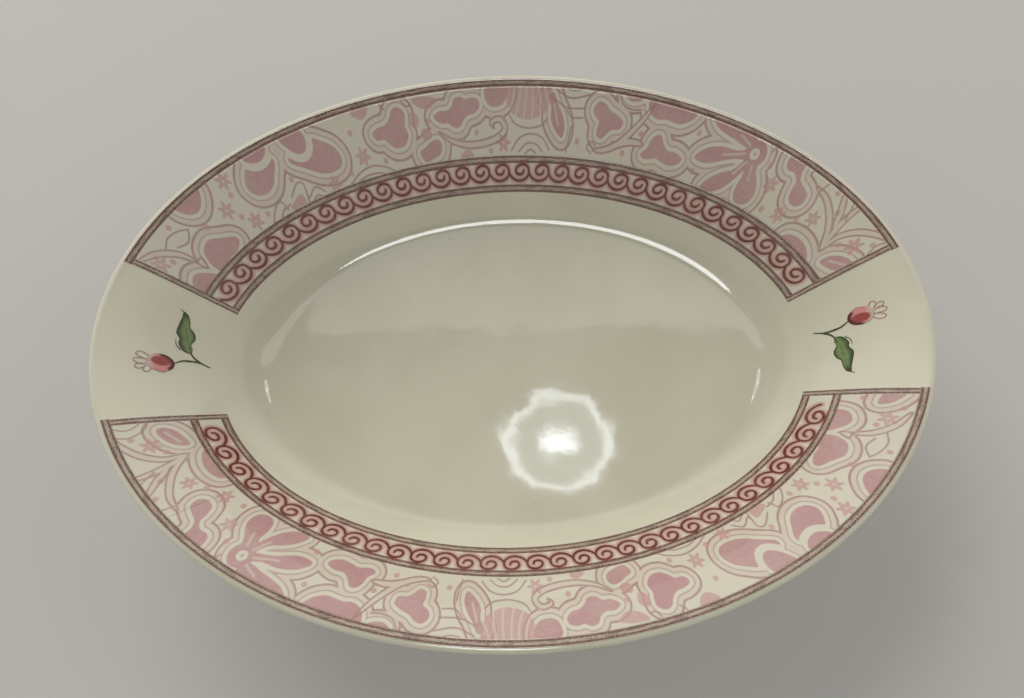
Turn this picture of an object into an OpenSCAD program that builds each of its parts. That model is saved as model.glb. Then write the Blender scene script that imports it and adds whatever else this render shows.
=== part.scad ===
// Oval porcelain serving bowl with a printed border.
// Origin at the centre of the footprint, +X along the length, +Z up, table at z = 0.

/* [Bowl] */
// Length of the oval rim
rim_length = 250; // [230:1:280]
// Width of the oval rim
rim_width = 179; // [165:1:200]
// Radius of the rounded rim
rim_radius = 1.3; // [1:0.1:1.8]
// Fall of the wall at the rim, from level
rim_slope = 38; // [32:1:42]
// Fall of the wall below the border, from level
wall_slope = 48.5; // [45:0.5:54]
// Fall of the dished floor at its ends, from level
floor_slope = 6; // [3:0.5:8]
// Distance from the rim to where the wall is at its steepest
steep_inset = 18; // [15:1:22]
// Distance from the rim to where the wall starts to turn into the floor
turn_inset = 28; // [25:1:30]
// Distance from the rim to the edge of the floor, at the ends
floor_inset = 44; // [40:1:47]
// Distance from the rim to the edge of the floor at the sides, as a share of that at the ends
side_share = 0.86; // [0.8:0.01:0.92]
// Thickness of the floor
floor_wall = 4.4; // [4:0.1:5]

/* [Foot] */
// Distance from the rim in to the foot ring
foot_inset = 47; // [45:1:50]
// Width of the foot ring
foot_width = 4.5; // [3.5:0.1:6]
// Height of the middle of the underside above the table
foot_clearance = 2; // [1.5:0.1:4]
// Bare bevel beside the resting face
foot_bevel = 0.8; // [0.5:0.1:1.2]

/* [Coats] */
// Thickness of the glaze
glaze = 0.35; // [0.2:0.05:0.5]
// Thickness of a printed transfer
print = 0.15; // [0.1:0.05:0.25]

/* [Border] */
// Distance from the rim to the inner edge of the rim line
rim_line_end = 3.6; // [3:0.1:4.4]
// Distance from the rim to the inner edge of the flowered field
field_end = 19.8; // [18:0.1:21]
// Distance from the rim to the inner edge of the scroll strip
scroll_end = 28.6; // [26:0.1:30]
// Angle of the back panel's right end
back_right = 15; // [12:0.1:18]
// Angle of the back panel's left end
back_left = 162.7; // [160:0.1:166]
// Angle of the front panel's left end
front_left = 194.8; // [192:0.1:198]
// Angle of the front panel's right end
front_right = 345.2; // [342:0.1:348]
// Angle that an end line takes up
end_line = 1.5; // [1:0.1:2]
// Angle from a panel's end to the seam between its sheets
seam = 21; // [15:1:30]

/* [Hidden] */

half_length = rim_length / 2;
half_width = rim_width / 2;
floor_length = half_length - floor_inset;
floor_width = half_width - floor_inset * side_share;

// The well starts where the rounded rim ends. Its profile is an arc that steepens, a straight
// wall, an arc that turns into the floor, and the wide arc of the dished floor.
lip_inset = rim_radius * (1 + sin(rim_slope));
lip_radius = (steep_inset - lip_inset) / (sin(wall_slope) - sin(rim_slope));
turn_radius = (floor_inset - turn_inset) / (sin(wall_slope) - sin(floor_slope));
dish_radius = floor_length / sin(floor_slope);

function well_slope(inset) =
    inset <= steep_inset ? asin(sin(rim_slope) + (inset - lip_inset) / lip_radius)
    : inset <= turn_inset ? wall_slope
    : inset <= floor_inset ? asin(sin(wall_slope) - (inset - turn_inset) / turn_radius)
    : asin((half_length - inset) / dish_radius);

// Fall from the lip: the sum of what each stretch of the profile has fallen by then.
function well_fall(inset) =
    lip_radius * (cos(rim_slope) - cos(well_slope(min(inset, steep_inset))))
    + tan(wall_slope) * max(0, min(inset, turn_inset) - steep_inset)
    + (inset <= turn_inset ? 0
        : turn_radius * (cos(well_slope(min(inset, floor_inset))) - cos(wall_slope)))
    + (inset <= floor_inset ? 0 : dish_radius * (cos(well_slope(inset)) - cos(floor_slope)));

lip_z = foot_clearance + floor_wall + well_fall(half_length);
bowl_height = lip_z + rim_radius * (1 - cos(rim_slope));

// Angles at which something starts or ends, in order round the rim.
sprig_right_ends = [-11, 6.5];
sprig_left_ends = [167.5, 184.5];
marks = [
    sprig_right_ends[0], sprig_right_ends[1],
    back_right, back_right + end_line, back_right + seam,
    back_left - end_line, back_left,
    sprig_left_ends[0], sprig_left_ends[1],
    front_left, front_left + end_line, front_left + seam,
    front_right - end_line, front_right,
];
station_gap = 6.5;

// Every mark, and even steps between each mark and the next.
stations = [
    for (i = [0 : len(marks) - 1])
        let (
            from = marks[i],
            to = i < len(marks) - 1 ? marks[i + 1] : marks[0] + 360,
            steps = ceil((to - from) / station_gap)
        )
        for (k = [0 : steps - 1]) from + (to - from) * k / steps
];
count = len(stations);

function station(angle) = search(angle, stations)[0];

// Numbers after a, up to and with b, in n even steps.
function steps_to(a, b, n) = [for (i = [1 : n]) a + (b - a) * i / n];

// A profile point is [half length, half width, height, outward, upward]: an oval, and its normal.
// The side share comes in smoothly below the border, and the floor's ovals shrink to its middle.
function inset_point(inset, z, outward, upward) =
    let (
        share = min(max((inset - turn_inset) / (floor_inset - turn_inset), 0), 1),
        ease = share * share * (3 - 2 * share)
    )
    [
        half_length - inset,
        inset > floor_inset ? floor_width * (half_length - inset) / floor_length
        : half_width - inset * (1 - (1 - side_share) * ease),
        z, outward, upward,
    ];

// The same oval moved along its normal.
function moved(p, by) = [p[0] + by * p[3], p[1] + by * p[3], p[2] + by * p[4], p[3], p[4]];

function well_point(inset) =
    let (slope = well_slope(inset))
    inset_point(inset, lip_z - well_fall(inset), -sin(slope), cos(slope));

// The outside follows the well, and the wall thickens from the rim to the floor.
function outside_point(inset) =
    let (
        share = min((inset - lip_inset) / (floor_inset - lip_inset), 1),
        wall = 2 * rim_radius + (floor_wall - 2 * rim_radius) * share,
        p = moved(well_point(inset), -wall)
    )
    [p[0], p[1], p[2], -p[3], -p[4]];

function rim_point(angle) =
    let (
        c = cos(angle),
        s = sin(angle),
        p = inset_point(rim_radius, bowl_height - rim_radius, c, s)
    )
    moved(p, rim_radius);

// The foot ring hangs from the outside, and its corners are mitred.
foot_top = outside_point(foot_inset);
foot_root = outside_point(foot_inset + foot_width);
function foot_point(inward, z, outward, upward) =
    [foot_top[0] - inward, foot_top[1] - inward, z, outward, upward];
foot_outside = [
    foot_point(0, foot_bevel, 1, 0),
    foot_point(0, foot_top[2], 1, foot_top[4] / (1 + foot_top[3])),
];
foot_inside = [
    foot_point(foot_width, foot_bevel, -1, 0),
    foot_point(foot_width, foot_root[2], -1, -1),
];
rest_face = [
    foot_point(foot_width - foot_bevel, 0, 0, -1),
    foot_point(foot_bevel, 0, 0, -1),
];

// The floor's last oval is small, and a flat cap closes it.
floor_cap = half_length - 12;
underside = concat(foot_inside,
    [for (inset = steps_to(foot_inset + foot_width, floor_cap, 3)) outside_point(inset)]);
outside_steps = 7;
rim_step = 30;
outside = [for (i = [1 : outside_steps])
    outside_point(foot_inset + (lip_inset - foot_inset) * i / (outside_steps + 1))];
rim = [for (a = [rim_slope - 90 : rim_step : rim_slope + 90]) rim_point(a)];
well = [for (inset = concat(
    steps_to(lip_inset, rim_line_end, 1), steps_to(rim_line_end, field_end, 4),
    steps_to(field_end, scroll_end, 2), steps_to(scroll_end, floor_inset, 5),
    steps_to(floor_inset, floor_cap, 4))) well_point(inset)];
surface = concat(foot_outside, outside, rim, well);

// Where the printed strips start and end on the surface.
well_start = len(surface) - len(well);
rim_crest = well_start - 2;
rim_line_edge = well_start;
field_edge = rim_line_edge + 4;
scroll_edge = field_edge + 2;

function backwards(list) = [for (i = [len(list) - 1 : -1 : 0]) list[i]];
function all_moved(list, by) = [for (p = list) moved(p, by)];
function oval(p) = [for (t = stations) [p[0] * cos(t), p[1] * sin(t), p[2]]];

// The two triangles of one cell, with the diagonal that both sides of a contact share.
function cell(a, b, c, d, mirrored) = mirrored ? [[a, b, d], [b, c, d]] : [[a, b, c], [a, c, d]];

// Solid bounded by ovals one after another, with a flat cap on the first and on the last.
// The gaps before the turn-th oval run back along the surface, so their diagonals are mirrored.
module ovals(list, turn = 0) {
    last = (len(list) - 1) * count;
    polyhedron(
        points = [for (p = list) each oval(p)],
        faces = concat(
            [[for (j = [0 : count - 1]) j]],
            [for (i = [0 : len(list) - 2]) for (j = [0 : count - 1])
                let (k = (j + 1) % count, low = i * count, high = low + count)
                each cell(low + j, high + j, high + k, low + k, i < turn)],
            [[for (j = [count - 1 : -1 : 0]) last + j]]
        )
    );
}

// Thin sheet lying on the surface between two angles and two profile points.
module sheet(from_angle, to_angle, from_edge, to_edge) {
    first = station(from_angle);
    across = station(to_angle) - first + 1;
    rows = to_edge - from_edge + 1;
    points = [for (by = [0, print]) for (i = [from_edge : to_edge]) for (j = [0 : across - 1])
        let (p = moved(surface[i], by), t = stations[first + j])
        [p[0] * cos(t), p[1] * sin(t), p[2]]];
    top = rows * across;
    cells = [for (i = [0 : rows - 2]) for (j = [0 : across - 2])
        let (a = i * across + j) each cell(a, a + across, a + across + 1, a + 1, false)];
    border = concat(
        [for (j = [0 : across - 1]) j],
        [for (i = [1 : rows - 1]) i * across + across - 1],
        [for (j = [across - 2 : -1 : 0]) (rows - 1) * across + j],
        [for (i = [rows - 2 : -1 : 1]) i * across]
    );
    polyhedron(
        points = points,
        faces = concat(
            [for (f = cells) [f[0] + top, f[1] + top, f[2] + top]],
            [for (f = cells) [f[2], f[1], f[0]]],
            [for (k = [0 : len(border) - 1])
                let (a = border[k], b = border[(k + 1) % len(border)])
                each [[b, a, a + top], [b, a + top, b + top]]]
        )
    );
}

module porcelain_body() {
    color("ivory")
        ovals(concat(
            backwards(all_moved(underside, -glaze)), [foot_inside[0]], rest_face,
            [foot_outside[0]], all_moved(surface, -glaze)));
}

module glaze_coat() {
    color("antiquewhite")
        ovals(concat(backwards(all_moved(surface, -glaze)), surface), len(surface));
}

module underside_glaze() {
    color("antiquewhite")
        ovals(concat(backwards(underside), all_moved(underside, -glaze)), len(underside));
}

module flower_sheet(from_angle, to_angle) {
    color("rosybrown") sheet(from_angle, to_angle, rim_line_edge, field_edge);
}

module scroll_strip(from_angle, to_angle) {
    color("pink") sheet(from_angle, to_angle, field_edge, scroll_edge);
}

module rim_line(from_angle, to_angle) {
    color("brown") sheet(from_angle, to_angle, rim_crest, rim_line_edge);
}

module end_line_strip(from_angle, to_angle) {
    color("brown") sheet(from_angle, to_angle, rim_line_edge, scroll_edge);
}

module rosebud_sprig(ends) {
    color("salmon") sheet(ends[0], ends[1], rim_line_edge + 1, scroll_edge);
}

porcelain_body();
glaze_coat();
underside_glaze();
flower_sheet(back_right + seam, back_left - end_line);  // back_flower_sheet
flower_sheet(back_right + end_line, back_right + seam);  // back_flower_end_sheet
scroll_strip(back_right + end_line, back_left - end_line);  // back_scroll_strip
rim_line(back_right, back_left);  // back_rim_line
end_line_strip(back_right, back_right + end_line);  // back_right_end_line
end_line_strip(back_left - end_line, back_left);  // back_left_end_line
flower_sheet(front_left + seam, front_right - end_line);  // front_flower_sheet
flower_sheet(front_left + end_line, front_left + seam);  // front_flower_end_sheet
scroll_strip(front_left + end_line, front_right - end_line);  // front_scroll_strip
rim_line(front_left, front_right);  // front_rim_line
end_line_strip(front_left, front_left + end_line);  // front_left_end_line
end_line_strip(front_right - end_line, front_right);  // front_right_end_line
rosebud_sprig(sprig_right_ends);  // right_rosebud_sprig
rosebud_sprig(sprig_left_ends);  // left_rosebud_sprig
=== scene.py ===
import logging
import math
from dataclasses import dataclass, field
from enum import Enum
from typing import Sequence

import bpy
import numpy as np
from mathutils import Matrix, Vector


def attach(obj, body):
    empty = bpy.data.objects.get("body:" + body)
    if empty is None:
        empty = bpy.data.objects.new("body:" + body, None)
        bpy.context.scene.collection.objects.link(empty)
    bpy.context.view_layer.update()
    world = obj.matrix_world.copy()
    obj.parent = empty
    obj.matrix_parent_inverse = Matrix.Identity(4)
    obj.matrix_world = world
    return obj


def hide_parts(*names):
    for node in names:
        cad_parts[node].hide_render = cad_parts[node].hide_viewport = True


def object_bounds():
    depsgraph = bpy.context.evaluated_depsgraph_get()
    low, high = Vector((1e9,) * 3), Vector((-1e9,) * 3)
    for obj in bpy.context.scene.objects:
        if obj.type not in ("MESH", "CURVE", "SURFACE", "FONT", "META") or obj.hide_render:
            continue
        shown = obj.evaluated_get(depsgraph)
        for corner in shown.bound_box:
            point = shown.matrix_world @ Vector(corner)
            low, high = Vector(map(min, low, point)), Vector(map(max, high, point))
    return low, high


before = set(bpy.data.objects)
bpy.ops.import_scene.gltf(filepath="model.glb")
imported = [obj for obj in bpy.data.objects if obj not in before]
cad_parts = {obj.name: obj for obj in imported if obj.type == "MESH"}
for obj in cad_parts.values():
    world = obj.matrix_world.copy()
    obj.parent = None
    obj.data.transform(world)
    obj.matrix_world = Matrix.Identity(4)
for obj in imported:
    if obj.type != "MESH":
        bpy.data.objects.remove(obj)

LOG = logging.getLogger("serving_bowl")
CAD_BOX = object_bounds()
METRES = 0.001
FAR = 1e3
Colour = tuple[float, float, float, float]
Spot = tuple[float, float]
Line = tuple[Spot, ...]


def ink(red: int, green: int, blue: int) -> Colour:
    """Turns display colour values from 0 to 255 into a linear colour.

    Args:
        red: red value.
        green: green value.
        blue: blue value.

    Returns:
        The linear red, green, blue and an alpha of one.
    """
    shares = np.array([red, green, blue]) / 255.0
    linear = np.where(shares <= 0.04045, shares / 12.92, ((shares + 0.055) / 1.055) ** 2.4)
    return (*(float(v) for v in linear), 1.0)


# ---------------------------------------------------------------- form of the bowl


@dataclass(frozen=True)
class OvalForm:
    """Shape of the bowl as a stack of ovals, each a distance in from the rim. Angles are in degrees.

    A profile is an array of rows [half length, half width, height, outward, upward]: an oval, and the
    direction of the surface's normal in the profile.
    """

    half_length: float
    half_width: float
    rim_radius: float = 1.3
    rim_slope: float = 38.0
    wall_slope: float = 48.5
    floor_slope: float = 6.0
    steep_inset: float = 18.0
    turn_inset: float = 28.0
    floor_inset: float = 44.0
    side_share: float = 0.86
    floor_wall: float = 4.4
    foot_inset: float = 47.0
    foot_width: float = 4.5
    foot_clearance: float = 2.0
    foot_bevel: float = 0.8

    @classmethod
    def from_box(cls, low: Vector, high: Vector) -> "OvalForm":
        """Takes the half length and half width from the CAD box.

        Args:
            low: lowest corner, in metres.
            high: highest corner, in metres.

        Returns:
            The form at the CAD model's size, to the nearest half millimetre in length and width.
        """
        length, width = ((high[i] - low[i]) / METRES for i in (0, 1))
        return cls(half_length=round(length) / 2, half_width=round(width) / 2)

    @property
    def lip_inset(self) -> float:
        """Distance in from the rim where the rounded rim meets the well."""
        return self.rim_radius * (1 + math.sin(math.radians(self.rim_slope)))

    @property
    def lip_z(self) -> float:
        """Height where the rounded rim meets the well."""
        return self.foot_clearance + self.floor_wall + float(self.fall(np.array(self.half_length)))

    @property
    def height(self) -> float:
        """Height of the rim above the table."""
        return self.lip_z + self.rim_radius * (1 - math.cos(math.radians(self.rim_slope)))

    def _sines(self) -> tuple[float, float, float]:
        """Sines of the slopes at the rim, on the wall and at the floor's edge."""
        return tuple(math.sin(math.radians(a)) for a in (self.rim_slope, self.wall_slope, self.floor_slope))

    def slope(self, inset: np.ndarray) -> np.ndarray:
        """Slope of the well in radians.

        On an arc the sine of the slope changes evenly with the distance in from the rim, so the slope is
        the arcsine of straight stretches between the slopes at the lip, the wall, the floor and its middle.

        Args:
            inset: distances in from the rim.

        Returns:
            The slopes, from level.
        """
        rim, wall, floor = self._sines()
        stops = [self.lip_inset, self.steep_inset, self.turn_inset, self.floor_inset, self.half_length]
        return np.arcsin(np.interp(inset, stops, [rim, wall, wall, floor, 0.0]))

    def fall(self, inset: np.ndarray) -> np.ndarray:
        """Fall of the well below the lip.

        Each arc falls by its radius times the change in the cosine of the slope, and the straight wall by
        its run times its tangent.

        Args:
            inset: distances in from the rim.

        Returns:
            The falls.
        """
        rim, wall, floor = self._sines()
        lip_radius = (self.steep_inset - self.lip_inset) / (wall - rim)
        turn_radius = (self.floor_inset - self.turn_inset) / (wall - floor)
        dish_radius = (self.half_length - self.floor_inset) / floor
        cosine = [math.sqrt(1 - s * s) for s in (rim, wall, floor)]

        def at(low: float, high: float) -> np.ndarray:
            """Cosine of the slope, held at its value at the nearer end outside a stretch."""
            return np.cos(self.slope(np.clip(inset, low, high)))

        lip = lip_radius * (cosine[0] - at(self.lip_inset, self.steep_inset))
        straight = wall / cosine[1] * (np.clip(inset, self.steep_inset, self.turn_inset) - self.steep_inset)
        turn = turn_radius * (at(self.turn_inset, self.floor_inset) - cosine[1])
        dish = dish_radius * (at(self.floor_inset, self.half_length) - cosine[2])
        return lip + straight + turn + dish

    def half_axes(self, inset: np.ndarray) -> tuple[np.ndarray, np.ndarray]:
        """Half length and half width of the oval at each distance in from the rim.

        The ovals step in evenly all round at the border, ease to the side share at the floor's edge, and
        shrink in proportion from there to the middle.

        Args:
            inset: distances in from the rim at the ends.

        Returns:
            The half lengths and the half widths.
        """
        share = np.clip((inset - self.turn_inset) / (self.floor_inset - self.turn_inset), 0, 1)
        ease = share * share * (3 - 2 * share)
        length = self.half_length - inset
        width = self.half_width - inset * (1 - (1 - self.side_share) * ease)
        floor_width = self.half_width - self.floor_inset * self.side_share
        floor_length = self.half_length - self.floor_inset
        return length, np.where(inset > self.floor_inset, floor_width * length / floor_length, width)

    def well(self, inset: np.ndarray) -> np.ndarray:
        """Profile of the well.

        Args:
            inset: distances in from the rim.

        Returns:
            The profile rows.
        """
        length, width = self.half_axes(inset)
        slope = self.slope(inset)
        return np.stack([length, width, self.lip_z - self.fall(inset), -np.sin(slope), np.cos(slope)], 1)

    def outside(self, inset: np.ndarray) -> np.ndarray:
        """Profile of the outside, which is the well moved by the wall, thickening from rim to floor.

        Args:
            inset: distances in from the rim.

        Returns:
            The profile rows.
        """
        share = np.clip((inset - self.lip_inset) / (self.floor_inset - self.lip_inset), 0, 1)
        wall = 2 * self.rim_radius + (self.floor_wall - 2 * self.rim_radius) * share
        profile = moved(self.well(inset), -wall)
        profile[:, 3:] *= -1
        return profile

    def rim(self, steps: int) -> np.ndarray:
        """Profile of the rounded rim, half a turn from the outside to the well.

        Args:
            steps: how many rows.

        Returns:
            The profile rows.
        """
        angle = np.radians(np.linspace(self.rim_slope - 90, self.rim_slope + 90, steps))
        centre = [
            self.half_length - self.rim_radius, self.half_width - self.rim_radius,
            self.height - self.rim_radius,
        ]
        rows = np.tile(np.array([*centre, 0.0, 0.0]), (steps, 1))
        rows[:, 3], rows[:, 4] = np.cos(angle), np.sin(angle)
        return moved(rows, self.rim_radius)

    def foot(self, steps: int) -> tuple[np.ndarray, np.ndarray, np.ndarray]:
        """Profiles of the foot ring's outer face, its resting face and its inner face.

        The bevels beside the resting face are quarter rounds, and both faces meet the bowl in small coves.

        Args:
            steps: how many rows in each round.

        Returns:
            The outer face going up, the resting face going out, and the inner face going up.
        """
        top = self.outside(np.array([self.foot_inset]))[0]
        root = self.outside(np.array([self.foot_inset + self.foot_width]))[0]
        bevel = self.foot_bevel
        turn = np.linspace(0, math.pi / 2, steps)

        def face(inward: float, side: int, ceiling: np.ndarray) -> np.ndarray:
            """Rows up one face: straight from the bevel, then a cove into the surface above."""
            heights = np.concatenate([[bevel], ceiling[2] - bevel * (1 - np.sin(turn))])
            outs = np.concatenate([[0.0], bevel * (1 - np.cos(turn))])
            rows = np.zeros((len(heights), 5))
            rows[:, 0] = top[0] - inward + side * outs
            rows[:, 1] = top[1] - inward + side * outs
            rows[:, 2] = heights
            rows[:, 3] = side * np.concatenate([[1.0], np.cos(turn)])
            rows[:, 4] = np.concatenate([[0.0], -np.sin(turn)])
            return rows

        outer = face(0.0, 1, top)
        inner = face(self.foot_width, -1, root)
        inward = np.concatenate([
            self.foot_width - bevel * (1 - np.cos(turn)), bevel * (1 - np.cos(turn[::-1])),
        ])
        rest = np.zeros((2 * steps, 5))
        rest[:, 0], rest[:, 1] = top[0] - inward, top[1] - inward
        rest[:, 2] = bevel * (1 - np.sin(np.concatenate([turn, turn[::-1]])))
        rest[:, 3:] = [0.0, -1.0]
        return outer, rest, inner

    def laid(self, spots: np.ndarray, lift: float) -> np.ndarray:
        """Lays plan points on the wall of the well.

        The distance in from the rim is the one whose oval passes through the point, found by halving the
        range again and again.

        Args:
            spots: plan points, in rows [x, y].
            lift: how far above the surface they lie.

        Returns:
            The points in space, in rows [x, y, z].
        """
        low = np.zeros(len(spots))
        high = np.full(len(spots), self.floor_inset)
        for _ in range(30):
            middle = (low + high) / 2
            length, width = self.half_axes(middle)
            outside = (spots[:, 0] / length) ** 2 + (spots[:, 1] / width) ** 2 > 1
            high = np.where(outside, middle, high)
            low = np.where(outside, low, middle)
        length, width = self.half_axes(low)
        slope = self.slope(low)
        outward = np.stack([spots[:, 0] / length**2, spots[:, 1] / width**2], 1)
        outward /= np.linalg.norm(outward, axis=1)[:, None]
        normal = np.column_stack([-np.sin(slope)[:, None] * outward, np.cos(slope)])
        base = np.column_stack([spots, self.lip_z - self.fall(low)])
        return base + lift * normal


def moved(profile: np.ndarray, by: np.ndarray | float) -> np.ndarray:
    """Moves each oval of a profile along its normal.

    Args:
        profile: the profile rows.
        by: how far, for all rows or for each.

    Returns:
        The moved profile.
    """
    rows = profile.copy()
    rows[:, 0] += by * profile[:, 3]
    rows[:, 1] += by * profile[:, 3]
    rows[:, 2] += by * profile[:, 4]
    return rows


def ovals(profile: np.ndarray, angles: np.ndarray) -> np.ndarray:
    """Points of each oval of a profile at each angle: half axes times cosine and sine, and the height.

    Args:
        profile: the profile rows.
        angles: angles round the oval, in radians.

    Returns:
        An array of rows by angles by three coordinates.
    """
    x = profile[:, 0, None] * np.cos(angles)
    y = profile[:, 1, None] * np.sin(angles)
    z = np.broadcast_to(profile[:, 2, None], x.shape)
    return np.stack([x, y, z], 2)


# ---------------------------------------------------------------- meshes


def new_piece(
    name: str, points: np.ndarray, faces: list[list[int]], attributes: dict[str, np.ndarray] | None = None
) -> bpy.types.Object:
    """Makes a smooth mesh object at the origin.

    Args:
        name: name of the piece.
        points: its points in millimetres.
        faces: its faces, as lists of point numbers.
        attributes: numbers held at each point, by name.

    Returns:
        The object, linked to the scene.
    """
    mesh = bpy.data.meshes.new(name)
    mesh.from_pydata((points * METRES).tolist(), [], faces)
    for key, values in (attributes or {}).items():
        layer = mesh.attributes.new(key, "FLOAT", "POINT")
        layer.data.foreach_set("value", np.ascontiguousarray(values, dtype=np.float32))
    mesh.polygons.foreach_set("use_smooth", np.ones(len(mesh.polygons), dtype=bool))
    mesh.update()
    piece = bpy.data.objects.new(name, mesh)
    bpy.context.scene.collection.objects.link(piece)
    return piece


def ring_solid(name: str, profile: np.ndarray, segments: int) -> bpy.types.Object:
    """Closed solid of ovals one after another, from the middle of one face to the middle of the other.

    Faces join each oval to the next, and fans of triangles close both middles.

    Args:
        name: name of the piece.
        profile: the profile rows, without the middles.
        segments: how many points each oval has.

    Returns:
        The object.
    """
    angles = np.linspace(0, 2 * math.pi, segments, endpoint=False)
    grid = ovals(profile, angles)
    rows = len(profile)
    first, last = rows * segments, rows * segments + 1
    poles = np.array([[0, 0, profile[0, 2]], [0, 0, profile[-1, 2]]])
    near = np.arange(segments)
    far = (near + 1) % segments
    low = np.arange(rows - 1)[:, None] * segments
    high = low + segments
    quads = np.stack([low + near, low + far, high + far, high + near], 2).reshape(-1, 4)
    top = (rows - 1) * segments
    fans = np.concatenate([
        np.stack([np.full(segments, first), far, near], 1),
        np.stack([top + near, top + far, np.full(segments, last)], 1),
    ])
    return new_piece(name, np.concatenate([grid.reshape(-1, 3), poles]), quads.tolist() + fans.tolist())


def sheet_solid(
    name: str, under: np.ndarray, over: np.ndarray, attributes: dict[str, np.ndarray]
) -> bpy.types.Object:
    """Closed thin sheet between two grids of points, with a strip of faces round its edge.

    Args:
        name: name of the piece.
        under: the lower grid, rows by columns by three.
        over: the upper grid, of the same shape.
        attributes: numbers at each grid point, by name.

    Returns:
        The object.
    """
    rows, columns = under.shape[:2]
    index = np.arange(rows * columns).reshape(rows, columns)
    above = rows * columns
    top = np.stack([index[:-1, :-1], index[:-1, 1:], index[1:, 1:], index[1:, :-1]], 2).reshape(-1, 4)
    edge = np.concatenate([index[0, :-1], index[:-1, -1], index[-1, :0:-1], index[:0:-1, 0]])
    follow = np.roll(edge, -1)
    wall = np.stack([edge, follow, follow + above, edge + above], 1)
    points = np.concatenate([under.reshape(-1, 3), over.reshape(-1, 3)])
    middle = [rows // 2, columns // 2]
    spans = [over[middle[0], middle[1] + 1] - over[middle[0], middle[1]],
             over[middle[0] + 1, middle[1]] - over[middle[0], middle[1]]]
    faces = np.concatenate([top + above, top[:, ::-1], wall])
    if np.dot(np.cross(*spans), (over - under)[middle[0], middle[1]]) < 0:
        faces = faces[:, ::-1]
    held = {key: np.tile(values.reshape(-1), 2) for key, values in attributes.items()}
    piece = new_piece(name, points, faces.tolist(), held)
    smooth = np.arange(len(faces)) < 2 * len(top)
    piece.data.polygons.foreach_set("use_smooth", smooth)
    return piece


# ---------------------------------------------------------------- flat drawing by distance


def smooth_path(points: Sequence[Spot], per_span: int = 8) -> np.ndarray:
    """Smooth line through a few points.

    Each span is the cubic that passes through its two ends with the slope of the line between their
    neighbours.

    Args:
        points: the points to pass through.
        per_span: how many steps each span gets.

    Returns:
        The points of the line, in rows [x, y].
    """
    p = np.array(points, float)
    if len(p) < 3:
        return p
    padded = np.concatenate([[2 * p[0] - p[1]], p, [2 * p[-1] - p[-2]]])
    t = np.linspace(0, 1, per_span, endpoint=False)[:, None]
    spans = []
    for i in range(len(p) - 1):
        a, b, c, d = padded[i : i + 4]
        spans.append(0.5 * (2 * b + (c - a) * t + (2 * a - 5 * b + 4 * c - d) * t**2
                            + (3 * b - a - 3 * c + d) * t**3))
    return np.concatenate([*spans, p[-1:]])


def path_distance(spots: np.ndarray, path: np.ndarray) -> np.ndarray:
    """Distance from each spot to the nearest of a path's straight pieces.

    Args:
        spots: plan points, in rows [x, y].
        path: the path's points.

    Returns:
        The distances.
    """
    nearest = np.full(len(spots), FAR)
    for start, end in zip(path[:-1], path[1:]):
        step = end - start
        share = np.clip(((spots - start) @ step) / max(step @ step, 1e-9), 0, 1)
        nearest = np.minimum(nearest, np.linalg.norm(spots - start - share[:, None] * step, axis=1))
    return nearest


def outline_distance(spots: np.ndarray, outline: np.ndarray) -> np.ndarray:
    """Signed distance to a closed outline, less than nothing inside it.

    A spot is inside where a line from it towards +X crosses the outline an odd number of times.

    Args:
        spots: plan points.
        outline: the outline's points, whose last is the same as its first.

    Returns:
        The distances.
    """
    crossings = np.zeros(len(spots), int)
    for (x0, y0), (x1, y1) in zip(outline[:-1], outline[1:]):
        spans = (y0 > spots[:, 1]) != (y1 > spots[:, 1])
        reach = x0 + (spots[:, 1] - y0) * (x1 - x0) / (y1 - y0 if y1 != y0 else 1e-9)
        crossings += spans & (spots[:, 0] < reach)
    return path_distance(spots, outline) * np.where(crossings % 2, -1, 1)


def closed_path(points: Sequence[Spot], per_span: int = 5) -> np.ndarray:
    """Smooth closed line through a few points, by the same cubics as an open one.

    Args:
        points: the points to pass through.
        per_span: how many steps each span gets.

    Returns:
        The points of the line, whose last is the same as its first.
    """
    wrapped = [points[-1], *points, points[0], points[1]]
    line = smooth_path(wrapped, per_span)
    return line[per_span : per_span * (len(points) + 1) + 1]


def near_only(spots: np.ndarray, line: np.ndarray, reach: float) -> np.ndarray:
    """Which spots are within reach of the box round a line.

    Args:
        spots: plan points.
        line: the line's points.
        reach: how far outside its box still counts.

    Returns:
        True for each spot that is near.
    """
    low, high = line.min(0) - reach, line.max(0) + reach
    return np.all((spots > low) & (spots < high), axis=1)


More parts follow.
